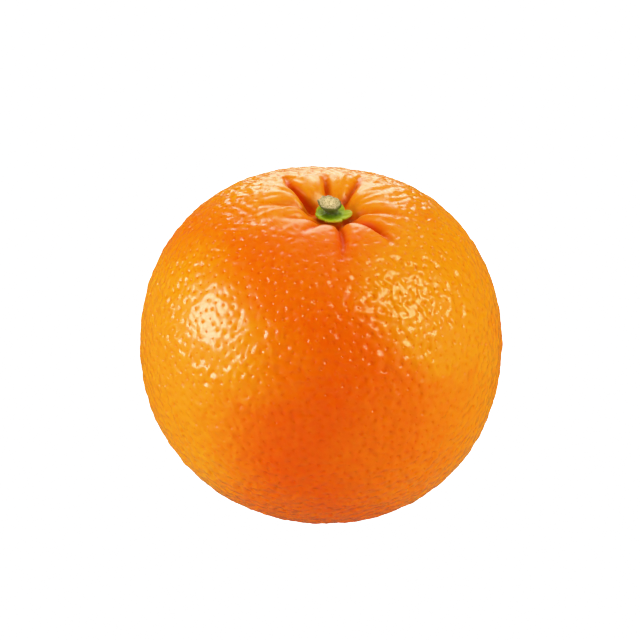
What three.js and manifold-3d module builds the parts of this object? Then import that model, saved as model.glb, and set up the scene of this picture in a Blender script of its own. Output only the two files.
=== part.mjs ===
// A ripe orange as picked: the fruit, the green calyx that stays on it, and the cut stub of its stem.
// Millimetres, +Z up. The origin is on the surface that the fruit rests on, under the fruit's centre.
import * as THREE from "three";
import { mergeVertices } from "three/addons/utils/BufferGeometryUtils.js";
import Module from "manifold-3d";

const { degToRad, euclideanModulo, radToDeg, smoothstep } = THREE.MathUtils;

// The fruit's outline, about its own axis from the blossom end to the stem end.
const EQUATOR_RADIUS = 39.1;
const POLE_RADIUS = 38.2;
const FULLNESS = 2.12; // exponent of the outline: 2 is an ellipse, and more is squarer
const STEM_DISH = 2.1; // depth of the broad dish that flattens the stem end
const BLOSSOM_DISH = 1.5;
const DISH_RADIUS = 22;
const DISH_STEEPNESS = 3;
const LEAN = degToRad(3.5); // of the stem end, towards +X
const PRESSED_FLAT = 0.4; // height of the underside that its resting spot takes away

// Broad swellings of the fruit, and flats where the height is negative. Angles are in degrees: polar is
// counted from the stem end, and azimuth round the axis from +X.
const SWELLINGS = [
  { polar: 44, azimuth: 44, height: 0.5 },
  { polar: 34, azimuth: 90, height: -0.3 },
  { polar: 44, azimuth: 136, height: 0.35 },
  { polar: 66, azimuth: 162, height: 0.3 },
  { polar: 102, azimuth: 189, height: 0.3 },
  { polar: 136, azimuth: 316, height: 0.45 },
  { polar: 114, azimuth: 342, height: 0.35 },
  { polar: 85, azimuth: 75, height: -0.35 },
  { polar: 118, azimuth: 112, height: 0.4 },
];
const SWELLING_SPREAD = degToRad(26);

// The basin at the stem end, which holds the calyx.
const BASIN_DEPTH = 4.4;
const BASIN_RADIUS = 7;
const BASIN_STEEPNESS = 2.2;

// Furrows that run out from the basin between the puffed lobes of peel, anticlockwise from above.
// depth is the furrow's deepest cut, reach is how far from the axis it fades out, turn is how much it
// curves on the way (degrees per millimetre), and lobe is the height of the lobe that follows it.
const FURROWS = [
  { azimuth: 57, depth: 1.4, reach: 21, turn: 0.9, lobe: 0.5 },
  { azimuth: 96, depth: 1.7, reach: 19, turn: 0, lobe: 0.5 },
  { azimuth: 150, depth: 2.7, reach: 20, turn: -2.2, lobe: 0.9 },
  { azimuth: 180, depth: 0.9, reach: 18, turn: 0.3, lobe: 0.7 },
  { azimuth: 221, depth: 1, reach: 15, turn: -2.2, lobe: 0.5 },
  { azimuth: 247, depth: 1.2, reach: 16, turn: -1, lobe: 0.5 },
  { azimuth: 286, depth: 1.7, reach: 22, turn: -0.7, lobe: 0.6 },
  { azimuth: 324, depth: 2.4, reach: 20, turn: -0.4, lobe: 0.3 },
  { azimuth: 352, depth: 0.9, reach: 17, turn: 0.4, lobe: 0.5 },
];
const FURROW_WIDTH = 1.3; // distance from a furrow's bottom in which it loses most of its depth
const FURROW_START = 2.2; // distance from the axis where the furrows start, under the calyx
const FURROW_FULL = 5.5;
const LOBE_START = 4.5; // outside the calyx
const LOBE_FULL = 8;
const LOBE_FLATNESS = 4; // the higher, the flatter a lobe's back and the steeper its flanks
const FADE = 11; // length over which furrows and lobes fade out

// The calyx: a dished disc with five blunt sepals.
const SEPALS = 5;
const SEPAL_AZIMUTH = degToRad(-8);
const SEPAL_RADIUS = 4.3;
const NOTCH_SHARE = 0.22; // of the radius, cut away between two sepals
const CALYX_THICKNESS = 0.8; // in the middle
const RIM_THICKNESS = 0.5;
const RIM_ROUNDING = 0.25;

// The stub of the stem: a short neck under a wider cut end, which slopes.
const NECK_RADIUS = 1.5;
const NECK_HEIGHT = 1.2;
const FLARE_HEIGHT = 1.8; // where the neck has widened to the cut end
const CUT_RADIUS = 2.4;
const CUT_ROUNDING = 0.3;
const STUB_HEIGHT = 2.5;
const CUT_SLOPE = 0.2; // drop of the cut end per millimetre, towards CUT_AZIMUTH
const CUT_AZIMUTH = degToRad(-50);
const STUB_SHIFT = new THREE.Vector2(-0.4, 0.2); // of the cut end from the neck's foot

const CLEARANCE = 0.3; // between touching pieces
const ROUND = 90; // facets round the fruit
const SMALL_ROUND = 40; // facets round the calyx and the stub
const SIDE_ROWS = 24; // rows of facets from the stem end's shoulder to the blossom end
const STEM_ROWS = 21; // closer rows on the stem end, inside its shoulder
const SHOULDER = 21; // radius of the stem end's shoulder
const MERGE_DISTANCE = 1e-3; // between two vertices that are one

const ORANGE_PEEL = new THREE.MeshStandardMaterial({ color: 0xf0780a, roughness: 0.4, metalness: 0 });
const GREEN_CALYX = new THREE.MeshStandardMaterial({ color: 0x8aa022, roughness: 0.6, metalness: 0 });
const CUT_STEM = new THREE.MeshStandardMaterial({ color: 0xb9b878, roughness: 0.8, metalness: 0 });

const wasm = await Module();
wasm.setup();

// Half-height of the fruit's outline at a distance from its axis.
function outlineHeight(radius) {
  const share = Math.min(radius / EQUATOR_RADIUS, 1);
  return POLE_RADIUS * (1 - share ** FULLNESS) ** (1 / FULLNESS);
}

// How far the broad dish at either end lowers that end, at a distance from the axis.
function dishAt(radius, depth) {
  return depth * Math.exp(-((radius / DISH_RADIUS) ** DISH_STEEPNESS));
}

// Height of the basin's floor above its lowest point.
function floorRise(radius) {
  return BASIN_DEPTH * (1 - Math.exp(-((radius / BASIN_RADIUS) ** BASIN_STEEPNESS)));
}

function directionOf({ polar, azimuth }) {
  const [down, round] = [degToRad(polar), degToRad(azimuth)];
  return new THREE.Vector3(Math.sin(down) * Math.cos(round), Math.sin(down) * Math.sin(round), Math.cos(down));
}

// How far the swellings push out a point of the fruit.
function swellingAt(point) {
  return SWELLINGS.reduce((sum, swelling) => {
    const away = point.angleTo(directionOf(swelling)) / SWELLING_SPREAD;
    return sum + swelling.height * Math.exp(-away * away);
  }, 0);
}

// Azimuth of a furrow, in degrees, at a distance from the axis.
function furrowAzimuth(furrow, radius) {
  return furrow.azimuth + furrow.turn * (radius - FURROW_FULL);
}

// Share that is left of a furrow, or of the lobe that follows it, at a distance from the axis.
function fadeOf(furrow, radius) {
  return 1 - smoothstep(radius, furrow.reach - FADE, furrow.reach);
}

// Depth of all furrows together at a distance and azimuth, as a negative height.
function furrowsAt(radius, azimuth) {
  const along = smoothstep(radius, FURROW_START, FURROW_FULL);
  return FURROWS.reduce((sum, furrow) => {
    const turned = euclideanModulo(azimuth - furrowAzimuth(furrow, radius) + 180, 360) - 180;
    const aside = (radius * degToRad(turned)) / FURROW_WIDTH;
    return sum - furrow.depth * along * fadeOf(furrow, radius) * Math.exp(-aside * aside);
  }, 0);
}

// Height of the lobe of peel at a distance and azimuth: an arch from one furrow to the next.
function lobeAt(radius, azimuth) {
  const gaps = FURROWS.map((furrow, i) => {
    const start = furrowAzimuth(furrow, radius);
    const end = furrowAzimuth(FURROWS[(i + 1) % FURROWS.length], radius);
    return { furrow, passed: euclideanModulo(azimuth - start, 360), width: euclideanModulo(end - start, 360) };
  });
  const { furrow, passed, width } = gaps.find((gap) => gap.passed <= gap.width);
  const share = passed / width;
  const arch = 1 - Math.abs(2 * share - 1) ** LOBE_FLATNESS;
  return furrow.lobe * smoothstep(radius, LOBE_START, LOBE_FULL) * fadeOf(furrow, radius) * arch;
}

// Moves each vertex of a geometry.
function sculpt(geometry, move) {
  const position = geometry.getAttribute("position");
  const point = new THREE.Vector3();
  for (let i = 0; i < position.count; i++) {
    move(point.fromBufferAttribute(position, i));
    position.setXYZ(i, point.x, point.y, point.z);
  }
  geometry.computeVertexNormals();
  return geometry;
}

// A body turned about Z from a profile of [radius, height] pairs, listed from the bottom up.
function turned(profile, facets) {
  const points = profile.map(([radius, height]) => new THREE.Vector2(radius, height));
  return new THREE.LatheGeometry(points, facets).rotateX(Math.PI / 2);
}

// Point of the outline, as [radius, height], that lies at an angle from the stem end.
function outlinePoint(polar) {
  const across = (Math.sin(polar) / EQUATOR_RADIUS) ** FULLNESS;
  const up = Math.abs(Math.cos(polar) / POLE_RADIUS) ** FULLNESS;
  const reach = (across + up) ** (-1 / FULLNESS);
  return [reach * Math.sin(polar), reach * Math.cos(polar)];
}

// Rows of the fruit's outline, from the blossom end to the stem end, closer together inside the shoulder.
function fruitProfile() {
  const sideAngle = Math.PI - Math.atan2(SHOULDER, outlineHeight(SHOULDER));
  const side = Array.from({ length: SIDE_ROWS - 1 }, (_, i) => {
    return outlinePoint(Math.PI - (sideAngle * (i + 1)) / SIDE_ROWS);
  });
  const stemEnd = Array.from({ length: STEM_ROWS + 1 }, (_, i) => {
    const radius = SHOULDER * (1 - i / STEM_ROWS);
    return [radius, outlineHeight(radius)];
  });
  return [[0, -POLE_RADIUS], ...side, ...stemEnd];
}

function geometryOf(solid) {
  const mesh = solid.getMesh();
  const geometry = new THREE.BufferGeometry();
  geometry.setAttribute("position", new THREE.BufferAttribute(mesh.vertProperties, mesh.numProp));
  geometry.setIndex(new THREE.BufferAttribute(mesh.triVerts, 1));
  geometry.computeVertexNormals();
  return geometry;
}

function solidOf(geometry) {
  const bare = new THREE.BufferGeometry();
  bare.setAttribute("position", geometry.getAttribute("position"));
  bare.setIndex(geometry.index);
  const merged = mergeVertices(bare, MERGE_DISTANCE);
  return new wasm.Manifold(
    new wasm.Mesh({
      numProp: 3,
      vertProperties: merged.getAttribute("position").array,
      triVerts: new Uint32Array(merged.index.array),
    }),
  );
}

// The whole fruit about its own axis, with its centre at the origin.
function fruitBody() {
  return sculpt(turned(fruitProfile(), ROUND), (point) => {
    const radius = Math.hypot(point.x, point.y);
    const azimuth = radToDeg(Math.atan2(point.y, point.x));
    if (point.z > 0) {
      point.z += floorRise(radius) - BASIN_DEPTH - dishAt(radius, STEM_DISH);
      point.z += furrowsAt(radius, azimuth) + lobeAt(radius, azimuth);
    } else {
      point.z += dishAt(radius, BLOSSOM_DISH);
    }
    point.setLength(point.length() + swellingAt(point));
  });
}

// The sepals' outline as a share of the full radius.
function sepalShare(azimuth) {
  const wave = (1 - Math.cos(SEPALS * (azimuth - SEPAL_AZIMUTH))) / 2;
  return 1 - NOTCH_SHARE * wave;
}

// The calyx lies in the basin and follows its floor.
function calyxBody() {
  const profile = [
    [0, 0],
    [SEPAL_RADIUS / 2, 0],
    [SEPAL_RADIUS - RIM_ROUNDING, 0],
    [SEPAL_RADIUS, RIM_THICKNESS / 2],
    [SEPAL_RADIUS - RIM_ROUNDING, RIM_THICKNESS],
    [SEPAL_RADIUS / 2, CALYX_THICKNESS],
    [0, CALYX_THICKNESS],
  ];
  return sculpt(turned(profile, SMALL_ROUND), (point) => {
    const share = sepalShare(Math.atan2(point.y, point.x));
    const outward = Math.hypot(point.x, point.y) / SEPAL_RADIUS;
    const scale = 1 + (share - 1) * outward;
    point.x *= scale;
    point.y *= scale;
    point.z += floorRise(Math.hypot(point.x, point.y));
  });
}

// The stub stands on the calyx. Its cut end is shifted, and slopes.
function stubBody() {
  const profile = [
    [0, 0],
    [NECK_RADIUS, 0],
    [NECK_RADIUS, NECK_HEIGHT],
    [CUT_RADIUS, FLARE_HEIGHT],
    [CUT_RADIUS, STUB_HEIGHT - CUT_ROUNDING],
    [CUT_RADIUS - CUT_ROUNDING, STUB_HEIGHT],
    [0, STUB_HEIGHT],
  ];
  return sculpt(turned(profile, SMALL_ROUND), (point) => {
    const risen = point.z / STUB_HEIGHT;
    const downhill = point.x * Math.cos(CUT_AZIMUTH) + point.y * Math.sin(CUT_AZIMUTH);
    point.z -= CUT_SLOPE * downhill * risen * risen;
    point.x += STUB_SHIFT.x * risen;
    point.y += STUB_SHIFT.y * risen;
  });
}

function namedMesh(name, geometry, material) {
  const mesh = new THREE.Mesh(geometry, material);
  mesh.name = name;
  return mesh;
}

// The fruit leans, and its underside is cut level where it rests.
const leaning = fruitBody().rotateY(LEAN);
leaning.computeBoundingBox();
const centreHeight = -leaning.boundingBox.min.z - PRESSED_FLAT;
const resting = solidOf(leaning.translate(0, 0, centreHeight)).trimByPlane([0, 0, 1], 0);
const fruit = namedMesh("fruit", geometryOf(resting), ORANGE_PEEL);

// The calyx stands on the floor of the basin and the stub on the calyx, along the fruit's own axis.
const calyx = namedMesh("calyx", calyxBody(), GREEN_CALYX);
calyx.position.z = POLE_RADIUS - STEM_DISH - BASIN_DEPTH + CLEARANCE;
const stub = namedMesh("stem_stub", stubBody(), CUT_STEM);
stub.position.z = calyx.position.z + floorRise(NECK_RADIUS) + CALYX_THICKNESS + CLEARANCE;
const stemEnd = new THREE.Group();
stemEnd.add(calyx, stub);
stemEnd.rotation.y = LEAN;
stemEnd.position.z = centreHeight;

const orange = new THREE.Group();
orange.add(fruit, stemEnd);

export default orange;
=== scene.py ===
# %% [markdown]
# # A ripe orange
# The CAD model gives this orange its real size, its place and three plain solids: the fruit, the green
# calyx and the cut stub of its stem. Blender adds what the eye looks for: pitted peel, puckers round the
# stem, a fibrous cut and soft light on wax. The scene is in metres, in the CAD model's own frame, so
# nothing has to be fitted afterwards. Shapes are worked out in millimetres first, because the sizes of a
# fruit are easier to picture so.

# %% Load the frame
import math
import random

import bmesh
import bpy
import numpy as np
from mathutils import Matrix, Vector, kdtree, noise


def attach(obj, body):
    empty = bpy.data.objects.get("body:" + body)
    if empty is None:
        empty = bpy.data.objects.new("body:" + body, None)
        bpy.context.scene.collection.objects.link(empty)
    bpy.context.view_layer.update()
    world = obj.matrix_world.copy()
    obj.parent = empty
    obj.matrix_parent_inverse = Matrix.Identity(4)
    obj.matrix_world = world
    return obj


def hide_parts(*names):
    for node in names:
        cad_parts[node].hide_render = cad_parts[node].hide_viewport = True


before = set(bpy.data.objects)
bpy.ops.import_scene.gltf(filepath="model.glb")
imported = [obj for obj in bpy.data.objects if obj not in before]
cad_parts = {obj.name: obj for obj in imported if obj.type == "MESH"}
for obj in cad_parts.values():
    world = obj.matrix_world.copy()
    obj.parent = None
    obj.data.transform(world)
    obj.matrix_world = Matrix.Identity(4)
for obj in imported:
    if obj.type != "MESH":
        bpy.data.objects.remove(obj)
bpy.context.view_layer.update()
MM = 0.001

# %% [markdown]
# ## Five small helpers
# Colours are given as sRGB hex values, as a screen shows them, but Blender's sockets expect linear light, so
# one function converts them. Two more fill in a node's inputs and add a node, which gives back one of its
# outputs, so that a material reads from top to bottom like a sum. One starts a material. The last one turns
# arrays of points and faces into a smooth-shaded object.

# %% Helpers
def linear(hex_colour):
    """An sRGB colour such as "#f0780a" as the linear RGBA that a socket expects."""
    channels = [int(hex_colour[i : i + 2], 16) / 255 for i in (1, 3, 5)]
    return *(c / 12.92 if c <= 0.04045 else ((c + 0.055) / 1.055) ** 2.4 for c in channels), 1.0


def fill_inputs(node, inputs):
    """Fills in a node's inputs. Each one is given a value, or the socket that it is linked from."""
    for socket, value in inputs.items():
        if isinstance(value, bpy.types.NodeSocket):
            node.id_data.links.new(value, node.inputs[socket])
        else:
            node.inputs[socket].default_value = value


def add_node(tree, kind, inputs, output=0, **settings):
    """Adds a shader node with its settings and inputs, and gives one of its outputs."""
    node = tree.nodes.new("ShaderNode" + kind)
    for name, value in settings.items():
        setattr(node, name, value)
    fill_inputs(node, inputs)
    return node.outputs[output]


def new_material(name):
    """A new material, its tree of nodes and the shader in it."""
    material = bpy.data.materials.new(name)
    material.use_nodes = True
    return material, material.node_tree, material.node_tree.nodes["Principled BSDF"]


def smooth_object(name, points, faces, **attributes):
    """A smooth-shaded object from points in metres. Each attribute holds a number for each point."""
    mesh = bpy.data.meshes.new(name)
    mesh.from_pydata([tuple(point) for point in points], [], [tuple(face) for face in faces])
    for label, values in attributes.items():
        layer = mesh.attributes.new(label, "FLOAT", "POINT")
        layer.data.foreach_set("value", np.asarray(values, dtype=np.float32))
    mesh.shade_smooth()
    made = bpy.data.objects.new(name, mesh)
    bpy.context.scene.collection.objects.link(made)
    print(f"{name}: {len(points)} points, {len(faces)} faces")
    return made


# %% [markdown]
# ## The camera
# The view looks down on the stem end from in front, from near enough to feel like a fruit in the hand. The
# lens is long, so that the fruit stays round. The camera comes first, because every later choice is judged
# through it.

# %% The camera
FRUIT_CENTRE = Vector((0, 0, 36.4)) * MM
CAMERA_DISTANCE = 450 * MM
CAMERA_ELEVATION = math.radians(34)
LENS = 115.9  # millimetres, on a sensor 36 mm wide
AIM_UP = 5.0 * MM  # the camera is raised past the fruit's centre, which leaves more room above the fruit
AIM_RIGHT = -0.3 * MM

camera_data = bpy.data.cameras.new("camera")
camera_data.lens = LENS
camera = bpy.data.objects.new("camera", camera_data)
bpy.context.scene.collection.objects.link(camera)
camera.rotation_euler = (math.pi / 2 - CAMERA_ELEVATION, 0, 0)
turn = camera.rotation_euler.to_matrix()
camera.location = FRUIT_CENTRE + turn @ Vector((AIM_RIGHT, AIM_UP, CAMERA_DISTANCE))
bpy.context.scene.camera = camera
print("camera at, mm:", [round(side / MM) for side in camera.location])

# %% [markdown]
# ## The body of the fruit
# An orange is almost a ball, a little squarer in outline than an ellipse, dished at both ends and swollen
# unevenly where its segments grew. It could be sculpted, but a formula gives the same shape each time and
# can be measured. A superellipse makes the outline, and a few broad swellings of less than a millimetre
# keep it from looking turned. All of this is worked out in millimetres about the fruit's own axis, for many
# points at once.

# %% The body of the fruit
EQUATOR_RADIUS = 39.1
POLE_RADIUS = 38.2
FULLNESS = 2.12  # exponent of the outline: 2 is an ellipse, and more is squarer
STEM_DISH = 2.1
BLOSSOM_DISH = 1.5
DISH_RADIUS = 22
DISH_STEEPNESS = 3

# Polar angle from the stem end and azimuth round the axis, in degrees, and height.
SWELLINGS = [
    (44, 44, 0.5),
    (34, 90, -0.3),
    (44, 136, 0.35),
    (66, 162, 0.3),
    (102, 189, 0.3),
    (136, 316, 0.45),
    (114, 342, 0.35),
    (85, 75, -0.35),
    (118, 112, 0.4),
]
SWELLING_SPREAD = math.radians(26)


def directions_at(polar, azimuth):
    """Unit vectors at a polar angle and azimuth, in radians."""
    return np.stack([np.sin(polar) * np.cos(azimuth), np.sin(polar) * np.sin(azimuth), np.cos(polar)], -1)


def outline_at(polar):
    """Radius and height of the outline at an angle from the stem end."""
    across = (np.sin(polar) / EQUATOR_RADIUS) ** FULLNESS
    up = np.abs(np.cos(polar) / POLE_RADIUS) ** FULLNESS
    reach = (across + up) ** (-1 / FULLNESS)
    return reach * np.sin(polar), reach * np.cos(polar)


def dish_at(radius, depth):
    """Depth of a broad round dish, at distances from the axis."""
    return depth * np.exp(-((radius / DISH_RADIUS) ** DISH_STEEPNESS))


def swollen(points):
    """Points pushed out by the broad swellings."""
    length = np.linalg.norm(points, axis=1)
    heading = points / length[:, None]
    push = np.zeros(len(points))
    for polar, azimuth, height in SWELLINGS:
        peak = directions_at(math.radians(polar), math.radians(azimuth))
        away = np.arccos(np.clip(heading @ peak, -1, 1)) / SWELLING_SPREAD
        push += height * np.exp(-(away**2))
    return heading * (length + push)[:, None]


# %% [markdown]
# ## The puckered stem end
# Round the stem the peel is drawn in: a basin holds the calyx, furrows run out from it like the folds of a
# purse, and the peel between two furrows puffs up in a lobe. Each furrow has its own place, depth and
# reach, as on a real fruit, so they are a short list and one formula. A furrow is a wide soft valley with a
# narrow crease at its bottom. A lobe has a flat back and steep flanks, and it curls over in a small lip
# where it meets the calyx.
#
# Fine wrinkles run along the furrows. They could be drawn one by one, but a noise that is stretched
# outwards from the stem gives the same crumpled look. One side of the fruit is so full that its peel is
# taut there, with hardly a wrinkle.

# %% The puckered stem end
BASIN_DEPTH = 4.4
BASIN_RADIUS = 7
BASIN_STEEPNESS = 2.2

# Azimuth in degrees, depth, distance at which it has faded out, turn in degrees per millimetre, and the
# height of the lobe that follows it anticlockwise.
FURROWS = [
    (57, 1.4, 21, 0.9, 0.5),
    (96, 1.7, 19, 0.0, 0.5),
    (150, 2.7, 20, -2.2, 0.9),
    (180, 0.9, 18, 0.3, 0.7),
    (221, 1.0, 15, -2.2, 0.5),
    (247, 1.2, 16, -1.0, 0.5),
    (286, 1.7, 22, -0.7, 0.6),
    (324, 2.4, 20, -0.4, 0.3),
    (352, 0.9, 17, 0.4, 0.5),
]
FURROW_START, FURROW_FULL = 2.2, 5.5
LOBE_START, LOBE_FULL = 4.5, 8
LOBE_FLATNESS = 4  # the higher, the flatter a lobe's back and the steeper its flanks
LIP_RADIUS, LIP_WIDTH, LIP_HEIGHT = 6.6, 2.2, 0.3  # where a lobe curls over towards the calyx
FADE = 13  # length over which furrows and lobes fade out
VALLEY_WIDTH, CREASE_WIDTH = 2.1, 0.85
CREASE_SHARE = 0.6  # of a furrow's depth
WRINKLE_HEIGHT = 0.5
WRINKLES_START, WRINKLES_FULL, WRINKLES_FADE, WRINKLES_REACH = 4.5, 7, 11, 24  # distances from the stem
WRINKLE_LENGTH = 6
WRINKLE_CROWD = 8.5  # the higher, the more wrinkles there are round the stem
CREPE_SIZE, CREPE_SHARE = 2.3, 0.2  # how much finer the smallest wrinkles are, and their relative height
TAUT_SIDE = 262  # azimuth of the side where the peel is too full to wrinkle
TAUT_START, TAUT_FULL, TAUTNESS = 0.35, 0.75, 0.8  # cosines from that side, and how much is lost there


def smoothstep(value, low, high):
    """0 up to the low value, 1 from the high one, and a soft S between them."""
    share = np.clip((value - low) / (high - low), 0, 1)
    return share * share * (3 - 2 * share)


def floor_rise(radius):
    """Height of the basin's floor above its lowest point."""
    return BASIN_DEPTH * (1 - np.exp(-((radius / BASIN_RADIUS) ** BASIN_STEEPNESS)))


def pucker_at(radius, azimuth):
    """Height of the lobes less the depth of the furrows. Azimuth is in degrees."""
    height = np.zeros(len(radius))
    starts = [bearing + bend * (radius - FURROW_FULL) for bearing, _, _, bend, _ in FURROWS]
    for i, (_, depth, reach, _, lobe) in enumerate(FURROWS):
        left = 1 - smoothstep(radius, reach - FADE, reach)
        aside = np.abs(radius * np.radians((azimuth - starts[i] + 180) % 360 - 180))
        valley = np.exp(-((aside / VALLEY_WIDTH) ** 2)) * (1 - CREASE_SHARE)
        crease = np.exp(-((aside / CREASE_WIDTH) ** 2)) * CREASE_SHARE
        height -= depth * left * smoothstep(radius, FURROW_START, FURROW_FULL) * (valley + crease)
        gap = (starts[(i + 1) % len(FURROWS)] - starts[i]) % 360
        share = np.clip((azimuth - starts[i]) % 360 / gap, 0, 1)
        lip = LIP_HEIGHT * np.exp(-(((radius - LIP_RADIUS) / LIP_WIDTH) ** 2))
        arch = 1 - np.abs(2 * share - 1) ** LOBE_FLATNESS
        height += (lobe * left * smoothstep(radius, LOBE_START, LOBE_FULL) + lip) * arch
    return height


def wrinkles_at(radius, azimuth):
    """Height of the fine wrinkles, which run outwards from the stem."""
    height = np.zeros(len(radius))
    strength = WRINKLE_HEIGHT * smoothstep(radius, WRINKLES_START, WRINKLES_FULL)
    strength *= 1 - smoothstep(radius, WRINKLES_FADE, WRINKLES_REACH)
    strength *= 1 - TAUTNESS * smoothstep(np.cos(np.radians(azimuth - TAUT_SIDE)), TAUT_START, TAUT_FULL)
    for i in np.flatnonzero(strength > 0):
        round_turn = math.radians(azimuth[i])
        spot = Vector((math.cos(round_turn), math.sin(round_turn), 0)) * WRINKLE_CROWD
        spot.z = radius[i] / WRINKLE_LENGTH
        height[i] = strength[i] * (noise.noise(spot) + CREPE_SHARE * noise.noise(spot * CREPE_SIZE))
    return height


# %% [markdown]
# ## The oil glands
# Peel is pitted because each oil gland under it draws the skin in a little. The pits lie about two
# millimetres apart, never in rows, so a pattern of noise in a texture would do from afar. Real pits in the
# mesh are better: they catch light on one wall and shade on the other.
#
# Points are scattered on a ball and pushed apart until they are evenly irregular. The convex hull of points
# on a ball joins each one to its neighbours, which gives a net of triangles with a gland at every corner.

# %% Scatter the glands
GLAND_SPACING = 2.15
GLAND_COUNT = round(4 * math.pi * EQUATOR_RADIUS**2 / (GLAND_SPACING**2 * math.sqrt(3) / 2))
SCATTER = 0.7  # of the spacing
PUSHES, PUSH_SHARE = 4, 0.3  # how often glands are pushed apart, and how much of the way each time
ROOM = 1.2  # of the spacing: a gland pushes away those that are nearer
NEIGHBOURS = 7  # the gland itself, and the six round it
SEED = 7
seeded = random.Random(SEED)


def scattered_glands():
    """Unit vectors towards the glands: a spiral over the ball, shaken, and then pushed apart."""
    golden_turn = math.pi * (3 - math.sqrt(5))
    spacing = GLAND_SPACING / EQUATOR_RADIUS
    glands = []
    for i in range(GLAND_COUNT):
        height = 1 - (2 * i + 1) / GLAND_COUNT
        ring = math.sqrt(1 - height * height)
        shake = Vector([seeded.uniform(-1, 1) for _ in range(3)]) * spacing * SCATTER
        spot = Vector((ring * math.cos(i * golden_turn), ring * math.sin(i * golden_turn), height))
        glands.append((spot + shake).normalized())
    for _ in range(PUSHES):
        glands = pushed_apart(glands, spacing)
    return glands


def pushed_apart(glands, spacing):
    """The glands, each moved a little away from those that are too near."""
    tree = kdtree.KDTree(len(glands))
    for i, gland in enumerate(glands):
        tree.insert(gland, i)
    tree.balance()
    room = ROOM * spacing
    moved = []
    for gland in glands:
        near = [found for found in tree.find_n(gland, NEIGHBOURS) if 0 < found[2] < room]
        push = sum(((gland - other).normalized() * (room - gap) for other, _, gap in near), Vector())
        moved.append((gland + PUSH_SHARE * push).normalized())
    return moved


glands = scattered_glands()
net = bmesh.new()
for gland in glands:
    net.verts.new(gland)
bmesh.ops.convex_hull(net, input=net.verts)
net.verts.index_update()
glands = np.array([vert.co[:] for vert in net.verts])
triangles = [[vert.index for vert in face.verts] for face in net.faces]
net.free()
print(f"{len(glands)} glands joined by {len(triangles)} triangles")

# %% [markdown]
# ## The smooth cheek
# Peel isn't equally rough all over. On most of this fruit it is knobbly between the pits, and breaks up the
# light that it mirrors. On one cheek it is smooth, with small clear pits, and there a mirrored light stays
# whole. One function says how smooth the skin is in a direction, and the pits, the knobs and the finish all
# ask it, so that they agree.

# %% The smooth cheek and the size of the pits
SMOOTH_CHEEK = np.array([-0.57, -0.59, 0.57])
CHEEK_EDGE, CHEEK_FULL = 0.93, 0.98  # cosines of the angle from the middle of the cheek
PIT_RADIUS = 0.58
SMALLEST_PIT, USUAL_PIT, LARGEST_PIT = 0.35, 0.95, 1.3  # beside the pit radius
CHEEK_SHRINKAGE = 0.28  # how much smaller the pits of the smooth cheek are


def smoothness_at(heading):
    """1 in the middle of the smooth cheek, and 0 past its edge."""
    return smoothstep(heading @ SMOOTH_CHEEK / np.linalg.norm(SMOOTH_CHEEK), CHEEK_EDGE, CHEEK_FULL)


pit_size = np.array([seeded.triangular(SMALLEST_PIT, LARGEST_PIT, USUAL_PIT) for _ in glands])
pit_size *= 1 - CHEEK_SHRINKAGE * smoothness_at(glands)
pit_radii = pit_size * PIT_RADIUS
print("pit radius, mm:", round(pit_radii.min(), 2), "to", round(pit_radii.max(), 2))

# %% [markdown]
# ## From glands to a mesh
# Each triangle of the net is cut into sixteen. The points next to a gland are pulled in to the rim of its
# pit, so that every pit is round whatever the distance to its neighbours.

# %% Cut the net into the skin's mesh
CUTS = 4


def cut_triangles(triangles):
    """Splits each triangle. Returns the new faces and, for each new point, its corners and their weights."""
    numbers, faces = {}, []
    for corners in triangles:
        grid = {}
        for i in range(CUTS + 1):
            for j in range(CUTS + 1 - i):
                weights = (CUTS - i - j, i, j)
                key = tuple(sorted((c, w) for c, w in zip(corners, weights) if w))
                grid[i, j] = numbers.setdefault(key, len(numbers))
        for i in range(CUTS):
            for j in range(CUTS - i):
                faces.append((grid[i, j], grid[i + 1, j], grid[i, j + 1]))
                if i + j < CUTS - 1:
                    faces.append((grid[i + 1, j], grid[i + 1, j + 1], grid[i, j + 1]))
    return faces, list(numbers)


def skin_point(key):
    """Unit vector of a new point. One next to a gland lies on the rim of its pit."""
    if len(key) == 2 and {weight for _, weight in key} == {1, CUTS - 1}:
        (gland, _), (neighbour, _) = sorted(key, key=lambda pair: -pair[1])
        step = glands[neighbour] - glands[gland]
        return glands[gland] + step / np.linalg.norm(step) * PIT_RADIUS * pit_size[gland] / EQUATOR_RADIUS
    return sum(glands[corner] * weight for corner, weight in key) / CUTS


skin_faces, skin_keys = cut_triangles(triangles)
heading = np.array([skin_point(key) for key in skin_keys])
heading /= np.linalg.norm(heading, axis=1)[:, None]
print(f"{len(heading)} points, {len(skin_faces)} triangles in the skin")

# %% [markdown]
# ## The skin
# The net is still a ball. Each point moves out to the body's outline, down into the basin and the furrows,
# and then along the skin's own direction: into its pit, or up on a knob or a lump. Three sizes of lump,
# from 3 to 16 mm, keep the outline from looking turned. Pits and knobs are shallower where the peel is
# drawn in round the stem. At the other end, the flower has left a small scar. Last, the fruit leans a
# little and its underside is pressed flat where it rests, just as its CAD solid is.

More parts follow.
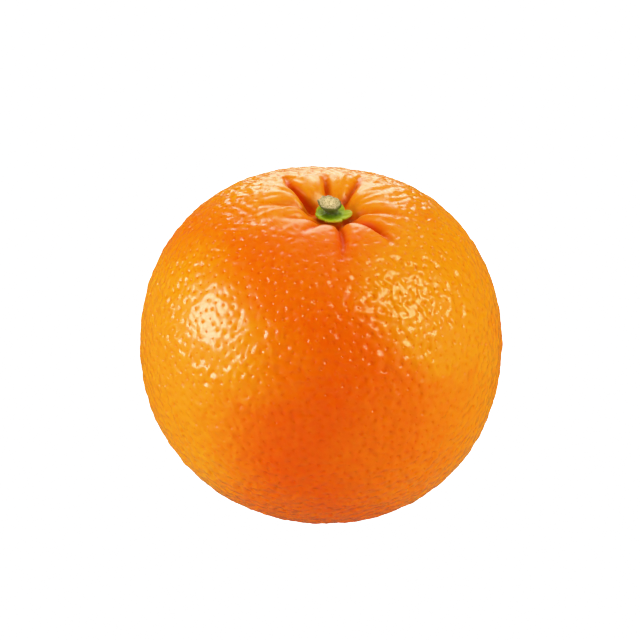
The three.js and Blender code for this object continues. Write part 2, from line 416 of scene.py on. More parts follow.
# %% Shape the skin
LEAN = math.radians(3.5)
PRESSED_FLAT = 0.4
PIT_DEPTH = 0.16
RIM_SHARE = 0.1  # of a pit's depth, at its rim
PLUMP = 0.055  # mean height of the skin between pits
LEAST_PLUMP, MOST_PLUMP = 0.4, 1.6  # beside the mean
KNOB_SPACING, KNOB_HEIGHT = 1.8, 0.2  # of the knobbly skin
CHEEK_CALM = 0.85  # how much of the knobs the smooth cheek loses
LUMPS = [(16, 0.05), (6, 0.07), (3, 0.17)]  # size of the skin's unevenness, and its height
DRAWN_IN, SPREAD_OUT = 8, 24  # distances from the stem: fully drawn in at the first, and not past the second
STEM_RISE, STEM_PITS = 0.2, 0.25  # what is left beside the stem of the lumps and knobs, and of the pits
STEM_KNOBS = 0.05  # and of the knobs in the finish
SCAR_RADIUS, SCAR_DEPTH = 2.4, 0.7  # of the scar that the flower left at the blossom end
SCAR_STEEPNESS = 4


def scar_at(radius):
    """1 in the middle of the scar, and 0 past its edge."""
    return np.exp(-((radius / SCAR_RADIUS) ** SCAR_STEEPNESS))


def fruit_points(heading):
    """Points of the skin without its pits, about the fruit's own axis, and the outline's distance from it."""
    polar = np.arccos(np.clip(heading[:, 2], -1, 1))
    azimuth = np.degrees(np.arctan2(heading[:, 1], heading[:, 0]))
    radius, height = outline_at(polar)
    stem_end = floor_rise(radius) - BASIN_DEPTH - dish_at(radius, STEM_DISH)
    stem_end += pucker_at(radius, azimuth) + wrinkles_at(radius, azimuth) * (height > 0)
    blossom_end = dish_at(radius, BLOSSOM_DISH) + SCAR_DEPTH * scar_at(radius)
    height = height + np.where(height > 0, stem_end, blossom_end)
    turn = np.radians(azimuth)
    points = np.stack([radius * np.cos(turn), radius * np.sin(turn), height], -1)
    return swollen(points), radius


def pit_depths(keys):
    """Depth of each point: greatest at a gland, little at its rim, and below 0 on the plump skin between."""
    depth = np.empty(len(keys))
    for i, key in enumerate(keys):
        gland, weight = max(key, key=lambda pair: pair[1])
        share = {CUTS: 1, CUTS - 1: RIM_SHARE}.get(weight)
        if share:
            depth[i] = share * PIT_DEPTH * pit_size[gland] ** 2
        else:
            depth[i] = -PLUMP * seeded.uniform(LEAST_PLUMP, MOST_PLUMP)
    return depth


def nearest_gland(face):
    """The gland that a small triangle belongs to: the one with the greatest weight among its points."""
    weights = {}
    for point in face:
        for gland, weight in skin_keys[point]:
            weights[gland] = weights.get(gland, 0) + weight
    return max(weights, key=weights.get)


def lumps_at(points):
    """Height of the skin's broad unevenness."""
    height = np.zeros(len(points))
    for size, rise in LUMPS:
        height += [rise * noise.noise(Vector(point) / size) for point in points]
    return height


def knobs_at(points, heading):
    """Height of the knobs, which are lower on the smooth cheek."""
    height = np.array([noise.noise(Vector(point) / KNOB_SPACING) for point in points])
    return KNOB_HEIGHT * height * (1 - CHEEK_CALM * smoothness_at(heading))


def normals_of(points, faces):
    """Direction of the skin at each point."""
    corners = points[np.array(faces)]
    face_normals = np.cross(corners[:, 1] - corners[:, 0], corners[:, 2] - corners[:, 0])
    normals = np.zeros_like(points)
    for k in range(3):
        np.add.at(normals, np.array(faces)[:, k], face_normals)
    return normals / np.linalg.norm(normals, axis=1)[:, None]


smooth_skin, from_axis = fruit_points(heading)
outward = normals_of(smooth_skin, skin_faces)
stem_half = heading[:, 2] > 0
# 0 beside the stem, where the peel is drawn in, and 1 on the flanks.
spread = np.where(stem_half, smoothstep(from_axis, DRAWN_IN, SPREAD_OUT), 1)
rise = (lumps_at(smooth_skin) + knobs_at(smooth_skin, heading)) * (STEM_RISE + (1 - STEM_RISE) * spread)
rise -= pit_depths(skin_keys) * (STEM_PITS + (1 - STEM_PITS) * spread)
skin = smooth_skin + outward * rise[:, None]

lean = np.array(Matrix.Rotation(LEAN, 3, "Y"))
skin = skin @ lean.T
centre_height = -(smooth_skin @ lean.T)[:, 2].min() - PRESSED_FLAT
skin[:, 2] = np.maximum(skin[:, 2] + centre_height, 0)
print("centre height, mm:", round(centre_height, 2), "size, mm:", np.round(np.ptp(skin, axis=0), 1))

# %% [markdown]
# ## What the finish needs to know
# The mesh carries what the finish will ask. Its points say how deep in a furrow the skin lies, how far it is
# drawn in, how knobbly it is and where the scar is, and each face says which gland it belongs to. A painted
# image could say the same, but it would have to be lined up with the shape, and attributes follow it exactly.

# %% Make the fruit, and tell its points and faces what the finish needs
azimuth = np.degrees(np.arctan2(heading[:, 1], heading[:, 0]))
fruit = smooth_object(
    "orange_fruit", skin * MM, skin_faces,
    furrow=np.where(stem_half, -pucker_at(from_axis, azimuth), 0),
    drawn_in=1 - spread,
    knobbly=(1 - CHEEK_CALM * smoothness_at(heading)) * (STEM_KNOBS + (1 - STEM_KNOBS) * spread),
    scar=np.where(stem_half, 0, scar_at(from_axis)),
)
number_of_gland = {key[0][0]: i for i, key in enumerate(skin_keys) if len(key) == 1}
gland_point = np.array([skin[number_of_gland[gland]] for gland in range(len(glands))]) * MM
nearest = [nearest_gland(face) for face in skin_faces]
gland_place = fruit.data.attributes.new("gland_place", "FLOAT_VECTOR", "FACE")
gland_place.data.foreach_set("vector", gland_point[nearest].ravel().astype(np.float32))
gland_size = fruit.data.attributes.new("gland_size", "FLOAT", "FACE")
gland_size.data.foreach_set("value", pit_size[nearest].astype(np.float32))

# %% [markdown]
# ## The peel's colour
# Orange peel is a waxy skin over oil glands, and its colour comes from carotenoids. Paint by hand would
# do, but a number is easier to tune: a shade runs from 0, yellow, to 1, deep orange. Broad patches and a
# fine mottle set it at random. Each side of the fruit then adds or takes away its own share, and these
# shares are painted light and shade: the flanks and top are painted yellower, as if brightly lit, and the
# front below the middle deeper orange, as if in shade. One colour ramp turns the shade into peel. Over
# that lie painted shade, darker and redder, on the floors of the pits and furrows, and the brown scar.

# %% The peel's colours
DEEP_ORANGE = linear("#f06000")
RIPE_ORANGE = linear("#f47a02")
YELLOW_ORANGE = linear("#f9a00c")
# Painted shade: the floors of the furrows and pits are painted darker and redder than the peel.
FURROW_SHADE_ORANGE = linear("#dc4a00")
PIT_SHADE_ORANGE = linear("#e65a00")
SCAR_BROWN = linear("#7a4c18")
RIPE_PLACE = 0.5  # of ripe orange on the ramp, between yellow and deep orange
PATCH_SIZE = 24 * MM
PATCH_DETAIL, PATCH_ROUGHNESS = 4, 0.6  # of the noise that draws the patches
PATCH_SHADE, PATCH_START = -0.7, 0.9
MOTTLE_SIZE = 1.9 * MM  # near the spacing of the glands
MOTTLE_SHADE = 0.4
# Sides of the fruit: direction, cosines at which each starts and is full, and how much deeper its colour is.
# These shares are painted light and shade: yellower flanks and top, a deeper orange front.
PAINTED_LIGHT_SIDES = [
    ((0.1, -0.99, -0.12), 0.5, 1.0, 0.42),  # deeper orange on the front below the middle: painted shade
    ((-0.88, -0.45, 0.16), 0.6, 0.95, -0.7),  # yellower on the left flank: painted light, as are most of the rest
    ((0.56, -0.42, 0.7), 0.83, 0.98, -0.6),
    ((0.8, -0.6, -0.1), 0.55, 1.0, -0.54),
    ((0.87, 0.2, 0.48), 0.9, 1.0, -0.6),
    ((-0.3, -0.84, 0.45), 0.955, 1.0, -0.27),
    ((-0.6, -0.1, 0.79), 0.85, 1.0, 0.12),
    ((0.0, 0.5, 0.86), 0.5, 0.95, -0.7),
    ((-0.4, -0.72, -0.57), 0.84, 0.98, -0.27),
]


def tone_and_painted_light(tree, place):
    """How deep the colour is, from 0 for yellow to 1 for deep orange, with painted light on its sides."""
    broad = {"Vector": place, "Scale": 1 / PATCH_SIZE, "Detail": PATCH_DETAIL, "Roughness": PATCH_ROUGHNESS}
    patches = add_node(tree, "TexNoise", broad)
    shade = add_node(tree, "Math", {0: patches, 1: PATCH_SHADE, 2: PATCH_START}, operation="MULTIPLY_ADD")
    fine = add_node(tree, "TexNoise", {"Vector": place, "Scale": 1 / MOTTLE_SIZE, "Detail": 2})
    spread_shade = {0: fine, 1: MOTTLE_SHADE, 2: -MOTTLE_SHADE / 2}
    mottle = add_node(tree, "Math", spread_shade, operation="MULTIPLY_ADD")
    shade = add_node(tree, "Math", {0: shade, 1: mottle}, operation="ADD")
    centred = add_node(tree, "VectorMath", {0: place, 1: FRUIT_CENTRE}, operation="SUBTRACT")
    # Painted light and shade: the flanks and top turn yellower, the front deeper orange.
    for side, start, full, change in PAINTED_LIGHT_SIDES:
        outwards = Vector(side) / (EQUATOR_RADIUS * MM)
        facing = add_node(tree, "VectorMath", {0: centred, 1: outwards}, "Value", operation="DOT_PRODUCT")
        limits = {"Value": facing, "From Min": start, "From Max": full, "To Max": change}
        share = add_node(tree, "MapRange", limits, interpolation_type="SMOOTHSTEP")
        shade = add_node(tree, "Math", {0: shade, 1: share}, operation="ADD")
    return shade


def peel_ramp_colour(tree, shade):
    """The peel's colour for a shade from 0 to 1."""
    colour = add_node(tree, "ValToRGB", {"Fac": shade}, "Color")
    ramp = colour.node.color_ramp
    ramp.elements[0].color = YELLOW_ORANGE
    ramp.elements[1].color = DEEP_ORANGE
    ramp.elements.new(RIPE_PLACE).color = RIPE_ORANGE
    return colour


# %% [markdown]
# ## The peel's pits and knobs, close up
# The mesh has the pits, but only one point at the floor of each. The finish sharpens them: every face knows
# the gland it belongs to, so the distance to that gland, beside the pit's size, says how far down its wall
# a spot is. The same number paints shade on the floor, darker and redder, deepens it with bump and dims
# its gloss, because a pit is too narrow to mirror a light. Bump is only shading, so it is kept for what is
# too small to show in the outline: pit floors, knobs and wax grain.

# %% The peel's pits and knobs
PIT_FLOOR, PIT_WALL = 0.1 * MM, 0.55 * MM  # radii of a pit of size 1, where its floor ends and its wall ends
PIT_BUMP = 0.09 * MM
KNOB_SIZE, KNOB_BUMP = 1.7 * MM, 0.6 * MM
GRAIN_SIZE, GRAIN_BUMP = 0.35 * MM, 0.012 * MM  # coarser than real wax grain, so that it shows
STEM_PIT_LOSS = 0.85  # how much of the pits' finish is lost beside the stem


def distance_in_pit(tree, place):
    """Distance from the middle of the nearest pit, in metres for a pit of size 1."""
    gland = add_node(tree, "Attribute", {}, "Vector", attribute_name="gland_place")
    size = add_node(tree, "Attribute", {}, "Fac", attribute_name="gland_size")
    apart = add_node(tree, "VectorMath", {0: place, 1: gland}, "Value", operation="DISTANCE")
    return add_node(tree, "Math", {0: apart, 1: size}, operation="DIVIDE")


def depth_in_pit(tree, distance, drawn_in):
    """1 on the floor of a pit and 0 outside it, and less where the peel is drawn in."""
    limits = {"Value": distance, "From Min": PIT_FLOOR, "From Max": PIT_WALL, "To Min": 1.0, "To Max": 0.0}
    depth = add_node(tree, "MapRange", limits, interpolation_type="SMOOTHSTEP")
    left = add_node(tree, "Math", {0: drawn_in, 1: -STEM_PIT_LOSS, 2: 1.0}, operation="MULTIPLY_ADD")
    return add_node(tree, "Math", {0: depth, 1: left}, operation="MULTIPLY")


def peel_bump(tree, place, in_pit):
    """The direction of the skin with its pits, knobs and wax grain."""
    pits = add_node(tree, "Bump", {"Height": in_pit, "Distance": PIT_BUMP}, invert=True)
    rounded = add_node(tree, "TexNoise", {"Vector": place, "Scale": 1 / KNOB_SIZE, "Detail": 0})
    knobbly = add_node(tree, "Attribute", {}, "Fac", attribute_name="knobbly")
    knobs = add_node(tree, "Math", {0: rounded, 1: knobbly}, operation="MULTIPLY")
    knobbed = add_node(tree, "Bump", {"Height": knobs, "Distance": KNOB_BUMP, "Normal": pits})
    wax = add_node(tree, "TexNoise", {"Vector": place, "Scale": 1 / GRAIN_SIZE, "Detail": 2})
    return add_node(tree, "Bump", {"Height": wax, "Distance": GRAIN_BUMP, "Normal": knobbed})


# %% [markdown]
# ## The peel's finish
# Light goes a millimetre or two into peel before it comes out, and red goes furthest, which warms the shade
# inside the pits, so the shader scatters light below the surface. Over that is wax, with the index of
# refraction of wax, 1.44. It is rubbed to a polish, with a roughness of 0.2, on the open skin. In the folds
# nothing has rubbed it and it stays nearly matt, and a fold mirrors only the peel across it, so its gloss
# is tinted and fades away.

# %% The peel's finish
POLISHED_WAX, DULL_WAX = 0.2, 0.42  # roughness
WAX_IOR = 1.44
FOLD_GLOSS = linear("#c04c10")  # in a fold, the gloss mirrors the peel across it
PIT_GLOSS = linear("#80603c")
PIT_SHADE_SHARE = 0.2
GLOSS_FLOOR, GLOSS_WALL = 0.08 * MM, 0.38 * MM  # where a pit's gloss starts to come back, and is whole
FOLD_START, FOLD_FULL, FOLD_SHARE = 0.05, 1.2, 0.85  # depths of a furrow, and its finish's greatest share
STEM_DULLNESS = 0.5  # how far the wax is dulled where the peel is drawn in
FULL_GLOSS = 0.5  # the shader's own value, for gloss as strong as the index of refraction gives
SCATTER_SHARE = 0.4
SCATTER_DEPTH = 2.0 * MM
SCATTER_REACH = (1.0, 0.35, 0.08)  # of red, green and blue, beside the scatter depth


def peel_finish():
    """Waxed citrus peel: deep orange to yellow-orange, glossy, and lit from within."""
    peel, tree, shader = new_material("waxy_orange_peel")
    place = add_node(tree, "TexCoord", {}, "Object")
    furrow = add_node(tree, "Attribute", {}, "Fac", attribute_name="furrow")
    drawn_in = add_node(tree, "Attribute", {}, "Fac", attribute_name="drawn_in")
    scar = add_node(tree, "Attribute", {}, "Fac", attribute_name="scar")
    distance = distance_in_pit(tree, place)
    in_pit = depth_in_pit(tree, distance, drawn_in)
    limits = {"Value": furrow, "From Min": FOLD_START, "From Max": FOLD_FULL, "To Max": FOLD_SHARE}
    in_fold = add_node(tree, "MapRange", limits)

    colour = peel_ramp_colour(tree, tone_and_painted_light(tree, place))
    # Painted shade: the floors of the pits and furrows are painted darker and redder; the scar's brown is its
    # own.
    pit_shade = add_node(tree, "Math", {0: in_pit, 1: PIT_SHADE_SHARE}, operation="MULTIPLY")
    for share, other in [(pit_shade, PIT_SHADE_ORANGE), (in_fold, FURROW_SHADE_ORANGE), (scar, SCAR_BROWN)]:
        colours = {"Factor": share, "A": colour, "B": other}
        colour = add_node(tree, "Mix", colours, "Result", data_type="RGBA")

    by_stem = add_node(tree, "Math", {0: drawn_in, 1: STEM_DULLNESS}, operation="MULTIPLY")
    dulled = add_node(tree, "Math", {0: in_fold, 1: by_stem}, operation="MAXIMUM")
    roughness = add_node(tree, "MapRange", {"Value": dulled, "To Min": POLISHED_WAX, "To Max": DULL_WAX})
    limits = {"Value": distance, "From Min": GLOSS_FLOOR, "From Max": GLOSS_WALL}
    on_floor = add_node(tree, "MapRange", limits | {"To Min": 1.0, "To Max": 0.0})
    tint = (1, 1, 1, 1)
    for share, other in [(on_floor, PIT_GLOSS), (in_fold, FOLD_GLOSS)]:
        tints = {"Factor": share, "A": tint, "B": other}
        tint = add_node(tree, "Mix", tints, "Result", data_type="RGBA")
    gloss = add_node(tree, "MapRange", {"Value": in_fold, "To Min": FULL_GLOSS, "To Max": 0.0})

    fill_inputs(shader, {
        "Base Color": colour,
        "Normal": peel_bump(tree, place, in_pit),
        "Roughness": roughness,
        "Specular Tint": tint,
        "Specular IOR Level": gloss,
        "IOR": WAX_IOR,
        "Subsurface Weight": SCATTER_SHARE,
        "Subsurface Radius": SCATTER_REACH,
        "Subsurface Scale": SCATTER_DEPTH,
    })
    return peel


fruit.data.materials.append(peel_finish())
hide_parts("fruit")
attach(fruit, "root")

# %% [markdown]
# ## The calyx
# Five small sepals once held the flower, and stay on the fruit as a green star under the stem. They are one
# leathery piece that lies in the basin and follows its floor. A star could be cut from a disc, but the
# sepals differ in length and have blunt tips, so the outline is worked out from a short list of tips. The
# mesh is a round grid: rings from the middle of the underside, round the rim, to the middle of the top.

# %% Shape the calyx
CALYX_GAP = 0.3  # the CAD pieces keep this gap, and so do the visible ones
CALYX_BASE = POLE_RADIUS - STEM_DISH - BASIN_DEPTH + CALYX_GAP
SEPAL_TIPS = [(352, 4.5), (64, 4.0), (136, 3.5), (211, 3.5), (280, 4.4)]  # azimuth in degrees, and length
SEPAL_HALF_WIDTH = 36  # degrees, so that five sepals fill the round
SEPAL_BLUNTNESS = 0.7  # the lower, the blunter
NOTCH_RADIUS = 3.1
CALYX_THICKNESS = 0.8
RIM_THICKNESS = 0.35
BOSS_HEIGHT = 0.5  # of the button in the middle, which carries the stem
BOSS_TOP, BOSS_FOOT = 1.4, 2.6  # its radii
MIDRIB_HEIGHT = 0.12
MIDRIB_WIDTH = 0.22  # beside half a sepal
MIDRIB_START, MIDRIB_FULL = 0.3, 0.7  # shares of the way out
CRINKLE_HEIGHT, CRINKLE_CROWD = 0.09, 1.4
NOISE_SLICE = 5  # height at which crinkles and ridges are cut from the noise: another gives another pattern
UNDER_START, OVER_END, RIM_START = 0.1, 0.06, 0.97  # shares of the way out, between which the rings lie
UNDER_RINGS, OVER_RINGS = 8, 18
RIM_SIDE = 0.5  # the rim's ring is halfway up the leaf's thickness
TAPER = 0.6  # exponent of the leaf's thickness: the lower, the nearer to the rim it thins
AROUND = 160  # points round a small piece


def sepal_reach(azimuth):
    """Distance of the star's outline from the axis, and nearness to a midrib, at azimuths in degrees."""
    reach, rib = np.full(len(azimuth), NOTCH_RADIUS), np.zeros(len(azimuth))
    for tip, length in SEPAL_TIPS:
        aside = np.abs((azimuth - tip + 180) % 360 - 180) / SEPAL_HALF_WIDTH
        blunt = np.clip(1 - aside**2, 0, 1) ** SEPAL_BLUNTNESS
        reach = np.maximum(reach, NOTCH_RADIUS + (length - NOTCH_RADIUS) * blunt)
        rib = np.maximum(rib, np.exp(-((aside / MIDRIB_WIDTH) ** 2)))
    return reach, rib


def placed_on_stem(points):
    """Points about the fruit's own axis, from its centre, moved to where the leaning fruit has them."""
    return (points @ lean.T + [0, 0, centre_height]) * MM


def round_grid(rings):
    """Points and faces of a closed piece made of rings, with one point in the middle at either end."""
    count = len(rings[0])
    points = np.concatenate([rings[0].mean(axis=0)[None], *rings, rings[-1].mean(axis=0)[None]])
    faces = [(0, 1 + (k + 1) % count, 1 + k) for k in range(count)]
    for row in range(len(rings) - 1):
        start = 1 + row * count
        for k in range(count):
            after = (k + 1) % count
            faces.append((start + k, start + after, start + count + after, start + count + k))
    last = len(points) - 1
    faces += [(last, last - count + k, last - count + (k + 1) % count) for k in range(count)]
    return points, faces


def calyx_rings():
    """Rings of the calyx from the middle of its underside, round the rim, to the middle of its top."""
    azimuth = np.arange(AROUND) * 360 / AROUND
    reach, rib = sepal_reach(azimuth)
    flat = np.stack([np.cos(np.radians(azimuth)), np.sin(np.radians(azimuth))], -1)
    under = [(share, 0.0) for share in np.linspace(UNDER_START, RIM_START, UNDER_RINGS)]
    over = [(share, 1.0) for share in np.linspace(RIM_START, OVER_END, OVER_RINGS)]
    rings = []
    for share, side in [*under, (1.0, RIM_SIDE), *over]:
        radius = reach * share
        thickness = RIM_THICKNESS + (CALYX_THICKNESS - RIM_THICKNESS) * (1 - share) ** TAPER
        height = floor_rise(radius) + side * thickness
        ring = np.column_stack([flat * radius[:, None], CALYX_BASE + height])
        if side == 1:
            crinkles = [noise.noise(Vector((x, y, NOISE_SLICE)) * CRINKLE_CROWD) for x, y, _ in ring]
            ring[:, 2] += BOSS_HEIGHT * (1 - smoothstep(radius, BOSS_TOP, BOSS_FOOT))
            ring[:, 2] += MIDRIB_HEIGHT * rib * smoothstep(share, MIDRIB_START, MIDRIB_FULL)
            ring[:, 2] += CRINKLE_HEIGHT * np.array(crinkles)
        rings.append(ring)
    return rings


calyx_points, calyx_faces = round_grid(calyx_rings())
calyx_radius = np.linalg.norm(calyx_points[:, :2], axis=1)
calyx = smooth_object("green_calyx", placed_on_stem(calyx_points), calyx_faces, from_axis=calyx_radius)

# %% [markdown]
# ## The cut stem
# The fruit was clipped from the tree, so a short stub stands on the calyx. Its neck is thinner than the cut
# end, where the bark curls out over a pale fibrous face that slopes. The same round grid makes it: rings up
# the neck, over the rim and in to the middle of the cut. An uneven outline and a rough face keep it from
# looking machined.

# %% Shape the cut stem
STUB_FOOT = 1.5  # radius at which the foot's height is taken from the basin's floor
STUB_BASE = CALYX_BASE + floor_rise(STUB_FOOT) + CALYX_THICKNESS + BOSS_HEIGHT + CALYX_GAP
STUB_HEIGHT = 1.65
CUT_SLOPE = 0.12
CUT_AZIMUTH = math.radians(-50)  # towards which the cut slopes down
CUT_SHIFT = np.array([-0.6, 0.8])  # how far the stub leans aside by its top
# Radius and height of each ring, from the middle of the foot up to the rim, and in over the cut.
STUB_PROFILE = [
    (0.6, 0.0), (1.1, 0.0), (1.4, 0.0), (1.45, 0.08), (1.4, 0.25), (1.4, 0.45), (1.6, 0.62),
    (1.95, 0.75), (2.25, 0.88), (2.38, 1.05), (2.42, 1.25), (2.38, 1.45), (2.22, 1.6), (2.02, 1.6),
    (1.75, 1.57), (1.5, 1.6), (1.25, 1.62), (1.0, 1.6), (0.7, 1.56), (0.45, 1.52), (0.2, 1.5),
]
CUT_FACE_START = 12  # the ring where the bark ends and the cut begins
BULGE_SHARE, BULGE_CROWD = 0.16, 2.2  # of the bark's radius; the higher the crowd, the more bulges
BULGE_LENGTH = 2  # along the stem
RIDGE_SHARE, RIDGE_CROWD = 0.064, 7
CUT_BUMP, CUT_CROWD, CUT_SLICE = 0.12, 2.6, 3  # height of the cut's roughness, and its place in the noise
CUT_RIM_SHARE = 0.5  # how much of the cut's finish its outermost ring has, so that the bark blends in


def stub_rings():
    """Rings of the stub from the middle of its foot, up its bark and over the cut to the middle."""
    azimuth = np.radians(np.arange(AROUND) * 360 / AROUND)
    flat = np.stack([np.cos(azimuth), np.sin(azimuth)], -1)
    downhill = flat @ [math.cos(CUT_AZIMUTH), math.sin(CUT_AZIMUTH)]
    rings = []
    for row, (radius, height) in enumerate(STUB_PROFILE):
        risen = height / STUB_HEIGHT
        broad = [(x * BULGE_CROWD, y * BULGE_CROWD, height / BULGE_LENGTH) for x, y in flat]
        narrow = [(x * RIDGE_CROWD, y * RIDGE_CROWD, height + NOISE_SLICE) for x, y in flat]
        bulges = [noise.noise(Vector(spot)) for spot in broad]
        ridges = [noise.noise(Vector(spot)) for spot in narrow]
        uneven = 1 + risen * (BULGE_SHARE * np.array(bulges) + RIDGE_SHARE * np.array(ridges))
        across = flat * (radius * uneven)[:, None]
        rise = height - CUT_SLOPE * radius * downhill * risen**2
        if row >= CUT_FACE_START:
            rise = rise + [CUT_BUMP * noise.noise(Vector((x, y, CUT_SLICE)) * CUT_CROWD) for x, y in across]
        rings.append(np.column_stack([across + CUT_SHIFT * risen, STUB_BASE + rise]))
    return rings


stub_points, stub_faces = round_grid(stub_rings())
cut_share = np.zeros(len(stub_points))
cut_rings = len(STUB_PROFILE) - CUT_FACE_START
cut_share[1 + AROUND * CUT_FACE_START : -1] = np.repeat(np.linspace(CUT_RIM_SHARE, 1, cut_rings), AROUND)
cut_share[-1] = 1
stub = smooth_object("cut_stem", placed_on_stem(stub_points), stub_faces, cut=cut_share)

# %% [markdown]
# ## The calyx's finish
# The calyx is leaf that has begun to dry: leathery and yellow-green, darker where the stem shades it, with
# thin pale edges. Its distance from the stem, which its points carry, places the colours on a ramp, and a
# noise about a millimetre wide shifts them, so that no two sepals match. Dry leaf has little wax left, so
# the gloss is broad and weak, and a thin leaf lets a little green light through.

# %% Finish the calyx
LEAF_GREEN = linear("#a4d000")
SHADED_GREEN = linear("#6c9c00")
LEAF_EDGE = linear("#c4c830")
LEAF_PLACE = 0.45  # of leaf green on the ramp
LEAF_PATCH, PATCH_SHIFT = 1.1 * MM, 1.4  # size of a patch, and how many millimetres it moves the colours
DARK_RADIUS, PALE_RADIUS = 2.4, 5.4  # millimetres from the stem at which the ramp starts and ends
LEAF_GRAIN, LEAF_BUMP = 0.25 * MM, 0.03 * MM
LEAF_ROUGHNESS = 0.5
LEAF_GLOSS = FULL_GLOSS / 2  # dry leaf has little wax left
LEAF_SCATTER_SHARE, LEAF_SCATTER_DEPTH = 0.15, 0.4 * MM
LEAF_SCATTER_REACH = (0.5, 1.0, 0.1)  # of red, green and blue: green goes furthest through a leaf


def calyx_finish():
    """Drying sepals: leathery yellow-green, matt, with a dark middle."""
    leaf, tree, shader = new_material("drying_sepal_green")
    place = add_node(tree, "TexCoord", {}, "Object")
    radius = add_node(tree, "Attribute", {}, "Fac", attribute_name="from_axis")
    patches = add_node(tree, "TexNoise", {"Vector": place, "Scale": 1 / LEAF_PATCH, "Detail": 3})
    shifted = add_node(tree, "Math", {0: patches, 1: PATCH_SHIFT, 2: radius}, operation="MULTIPLY_ADD")
    share = add_node(tree, "MapRange", {"Value": shifted, "From Min": DARK_RADIUS, "From Max": PALE_RADIUS})
    colour = add_node(tree, "ValToRGB", {"Fac": share}, "Color")
    ramp = colour.node.color_ramp
    ramp.elements[0].color = SHADED_GREEN
    ramp.elements[1].color = LEAF_EDGE
    ramp.elements.new(LEAF_PLACE).color = LEAF_GREEN
    grain = add_node(tree, "TexNoise", {"Vector": place, "Scale": 1 / LEAF_GRAIN, "Detail": 3})
    bump = add_node(tree, "Bump", {"Height": grain, "Distance": LEAF_BUMP})
    fill_inputs(shader, {
        "Base Color": colour,
        "Normal": bump,
        "Roughness": LEAF_ROUGHNESS,
        "Specular IOR Level": LEAF_GLOSS,
        "Subsurface Weight": LEAF_SCATTER_SHARE,
        "Subsurface Radius": LEAF_SCATTER_REACH,
        "Subsurface Scale": LEAF_SCATTER_DEPTH,
    })
    return leaf


calyx.data.materials.append(calyx_finish())
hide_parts("calyx")
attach(calyx, "root")

# %% [markdown]
# ## The stem's finish
# The stem is young green wood: dark green bark, ridged along its length, and a cream cut whose fibres end
# in small green dots. Noise that is stretched along the stem draws the ridges, and a finer one,
# left round, draws the fibre ends. The points of the mesh say which of them are on the cut. Raw wood has no
# varnish, so it is rough all over.

# %% Finish the cut stem
GREEN_BARK = linear("#2c4a08")
PALE_BARK = linear("#5c7020")
CREAM_CUT = linear("#faf2d6")
GREEN_CUT = linear("#9c9c5c")
FIBRE_SIZE, FIBRE_START, FIBRE_FULL = 0.3 * MM, 0.4, 0.65
BARK_RIDGE, RIDGE_STRETCH = 0.35 * MM, 4
WOOD_BUMP = 0.03 * MM
WOOD_ROUGHNESS = 0.7


def stem_finish():
    """Green wood: ridged green bark, and a cream fibrous cut."""
    wood, tree, shader = new_material("cut_green_wood")
    place = add_node(tree, "TexCoord", {}, "Object")
    on_cut = add_node(tree, "Attribute", {}, "Fac", attribute_name="cut")
    stretched = add_node(tree, "Mapping", {"Vector": place, "Scale": (1, 1, 1 / RIDGE_STRETCH)})
    ridges = add_node(tree, "TexNoise", {"Vector": stretched, "Scale": 1 / BARK_RIDGE, "Detail": 2})
    fibres = add_node(tree, "TexNoise", {"Vector": place, "Scale": 1 / FIBRE_SIZE, "Detail": 3})
    ends = add_node(tree, "MapRange", {"Value": fibres, "From Min": FIBRE_START, "From Max": FIBRE_FULL})
    bark_colours = {"Factor": ridges, "A": GREEN_BARK, "B": PALE_BARK}
    bark = add_node(tree, "Mix", bark_colours, "Result", data_type="RGBA")
    cut_colours = {"Factor": ends, "A": CREAM_CUT, "B": GREEN_CUT}
    cut = add_node(tree, "Mix", cut_colours, "Result", data_type="RGBA")
    colour = add_node(tree, "Mix", {"Factor": on_cut, "A": bark, "B": cut}, "Result", data_type="RGBA")
    height = add_node(tree, "Math", {0: ridges, 1: fibres}, operation="ADD")
    bump = add_node(tree, "Bump", {"Height": height, "Distance": WOOD_BUMP})
    fill_inputs(shader, {"Base Color": colour, "Normal": bump, "Roughness": WOOD_ROUGHNESS})
    return wood


stub.data.materials.append(stem_finish())
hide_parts("stem_stub")
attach(stub, "root")

# %% [markdown]
# ## The lights
# The fruit is lit as in a small white tent. Plain panels on every side give it soft light with hardly a
# shadow. The gloss is lit apart from that, by a softbox on the left, a higher one on the right, and a
# backdrop behind the stem end that glints on the puckers. A real studio does this with polarisers; here
# each lamp is seen either by gloss or by plain shading, so moving a highlight doesn't change the colour of
# the peel. The left softbox is pale and the right one golden.

# %% The lights
WARM = linear("#ffe9c4")[:3]
PALE = linear("#ffe6e1")[:3]
GOLD = linear("#ffdcb0")[:3]


def area_light(name, heading, distance, width, height, power, gloss, colour=WARM):
    """A light that looks at the fruit from a heading. It makes gloss or plain brightness, never both."""
    data = bpy.data.lights.new(name, "AREA")
    data.shape = "RECTANGLE"
    data.size, data.size_y = width, height
    data.energy = power
    data.color = colour
    lamp = bpy.data.objects.new(name, data)
    bpy.context.scene.collection.objects.link(lamp)
    lamp.location = FRUIT_CENTRE + Vector(heading).normalized() * distance
    lamp.rotation_euler = (lamp.location - FRUIT_CENTRE).to_track_quat("Z", "Y").to_euler()
    lamp.visible_glossy = gloss
    lamp.visible_diffuse = not gloss


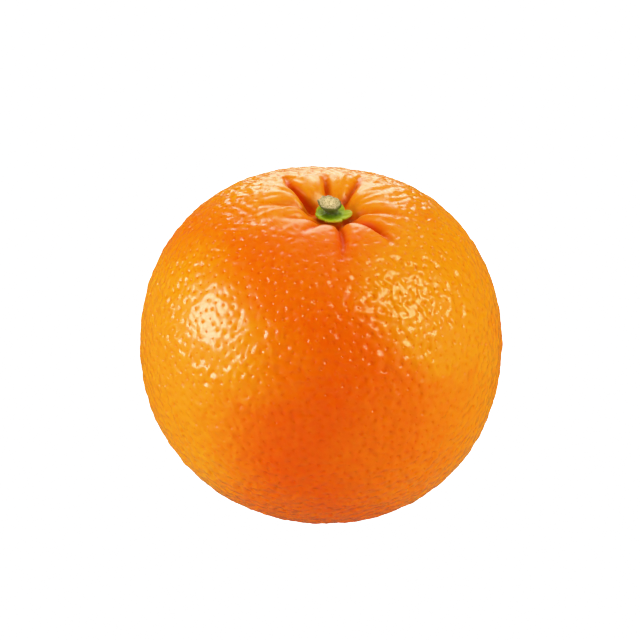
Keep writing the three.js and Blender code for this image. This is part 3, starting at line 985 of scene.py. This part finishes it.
# Heading, distance, width and height in metres, and power in watts.
area_light("left_softbox", (-0.934, -0.146, 0.37), 0.6, 0.29, 0.25, 3.3, gloss=True, colour=PALE)
area_light("right_softbox", (0.711, -0.125, 0.69), 0.6, 0.26, 0.40, 4.2, gloss=True, colour=GOLD)
area_light("backdrop", (0.0, 0.935, 0.34), 0.7, 0.35, 0.49, 2.4, gloss=True, colour=PALE)
area_light("left_panel", (-0.95, -0.15, 0.25), 0.6, 0.5, 0.5, 4.0, gloss=False)
area_light("right_panel", (0.95, -0.2, 0.2), 0.6, 0.5, 0.5, 3.4, gloss=False)
area_light("top_panel", (0.0, 0.3, 0.95), 0.6, 0.5, 0.5, 2.2, gloss=False)
area_light("back_panel", (0.0, 0.9, 0.4), 0.7, 0.9, 0.5, 3.4, gloss=False)
area_light("front_panel", (0.0, -1.0, -0.02), 0.8, 0.6, 0.4, 4.35, gloss=False)
print("lights:", sorted(lamp.name for lamp in bpy.data.lights))

# %% [markdown]
# ## The white room and the picture's white
# Floor and room show as pure white, so they have to be brighter than white. Were they to light the fruit
# as brightly as they look, its edges would wash out, so the light path tells the camera's rays from the
# others, and only the camera sees the bright room. The view keeps the peel's colours as they are and bends
# only the brightest tones, so that a highlight goes softly to white instead of being cut off.

# %% The white room and the view
SEEN_WHITE = 2.2  # past the top of the view's curve
ROOM_LIGHT = 0.05
ROOM_WARMTH = linear("#ffd9a0")
COMBINED_CURVE = 3  # the curve for all colours together, after those for red, green and blue
CURVE_TOP = 2
SHOULDER = [(0.7, 0.7), (0.9, 0.85), (1.1, 0.925), (1.4, 0.975)]  # light, and how bright it shows


def white_room():
    """A world that the camera sees as white, and that lights the fruit only a little."""
    world = bpy.data.worlds.new("white_room")
    world.use_nodes = True
    tree = world.node_tree
    seen = add_node(tree, "Background", {"Color": (1, 1, 1, 1), "Strength": SEEN_WHITE})
    lighting = add_node(tree, "Background", {"Color": ROOM_WARMTH, "Strength": ROOM_LIGHT})
    to_camera = add_node(tree, "LightPath", {}, "Is Camera Ray")
    mixed = add_node(tree, "MixShader", {0: to_camera, 1: lighting, 2: seen})
    fill_inputs(tree.nodes["World Output"], {"Surface": mixed})
    return world


bpy.context.scene.world = white_room()
view = bpy.context.scene.view_settings
view.view_transform = "Standard"
view.use_curve_mapping = True
view.curve_mapping.white_level = (CURVE_TOP,) * 3
shoulder = view.curve_mapping.curves[COMBINED_CURVE]
for light, shown in SHOULDER:
    shoulder.points.new(light / CURVE_TOP, shown)
for point in shoulder.points[:2]:
    point.handle_type = "VECTOR"
view.curve_mapping.update()

# %% [markdown]
# ## The floor
# The fruit stands on paper that is lit from below, as on a light table, so it hardly throws a shadow. A
# plain white sheet would show the lamps and their shadows. So this sheet is dim, and its glow makes it
# white. The glow is full for the camera, less for the light that it throws up on the fruit, and least where
# the wax mirrors it. There it also fades away with the distance from the spot where the fruit rests, because
# the mirror image of a wider sheet pales the lower flank.

# %% The floor
PAPER_HALF_SIDE = 6
PAPER_GLOW_ON_FRUIT = 0.47
PAPER_GLOW_IN_WAX = 0.09
MIRRORED_NEAR, MIRRORED_FAR = 30 * MM, 70 * MM  # from the resting spot: where its mirrored glow fades
UNLIT_PAPER = linear("#5a4a34")  # dim, so that the lamps hardly show on it
PAPER_ROUGHNESS = 0.8


def glowing_paper():
    """Matt paper with a white glow, which differs for the camera, for gloss and for plain shading."""
    paper, tree, shader = new_material("glowing_white_paper")
    place = add_node(tree, "TexCoord", {}, "Object")
    from_middle = add_node(tree, "VectorMath", {0: place}, "Value", operation="LENGTH")
    limits = {"Value": from_middle, "From Min": MIRRORED_NEAR, "From Max": MIRRORED_FAR}
    limits |= {"To Min": PAPER_GLOW_IN_WAX, "To Max": 0.0}
    mirrored = add_node(tree, "MapRange", limits, interpolation_type="SMOOTHSTEP")
    glow = 0.0
    glows = [("Diffuse", PAPER_GLOW_ON_FRUIT), ("Glossy", mirrored), ("Camera", SEEN_WHITE)]
    for ray, brightness in glows:
        is_ray = add_node(tree, "LightPath", {}, f"Is {ray} Ray")
        glow = add_node(tree, "Math", {0: is_ray, 1: brightness, 2: glow}, operation="MULTIPLY_ADD")
    fill_inputs(shader, {
        "Base Color": UNLIT_PAPER,
        "Roughness": PAPER_ROUGHNESS,
        "Emission Color": (1, 1, 1, 1),
        "Emission Strength": glow,
    })
    paper.cycles.emission_sampling = "NONE"  # only a ray that meets the paper gathers its glow
    return paper


near_side, far_side = -PAPER_HALF_SIDE, PAPER_HALF_SIDE
paper_corners = [
    (near_side, near_side, 0), (far_side, near_side, 0), (far_side, far_side, 0), (near_side, far_side, 0)
]
floor = smooth_object("floor", paper_corners, [(0, 1, 2, 3)])
floor.data.materials.append(glowing_paper())
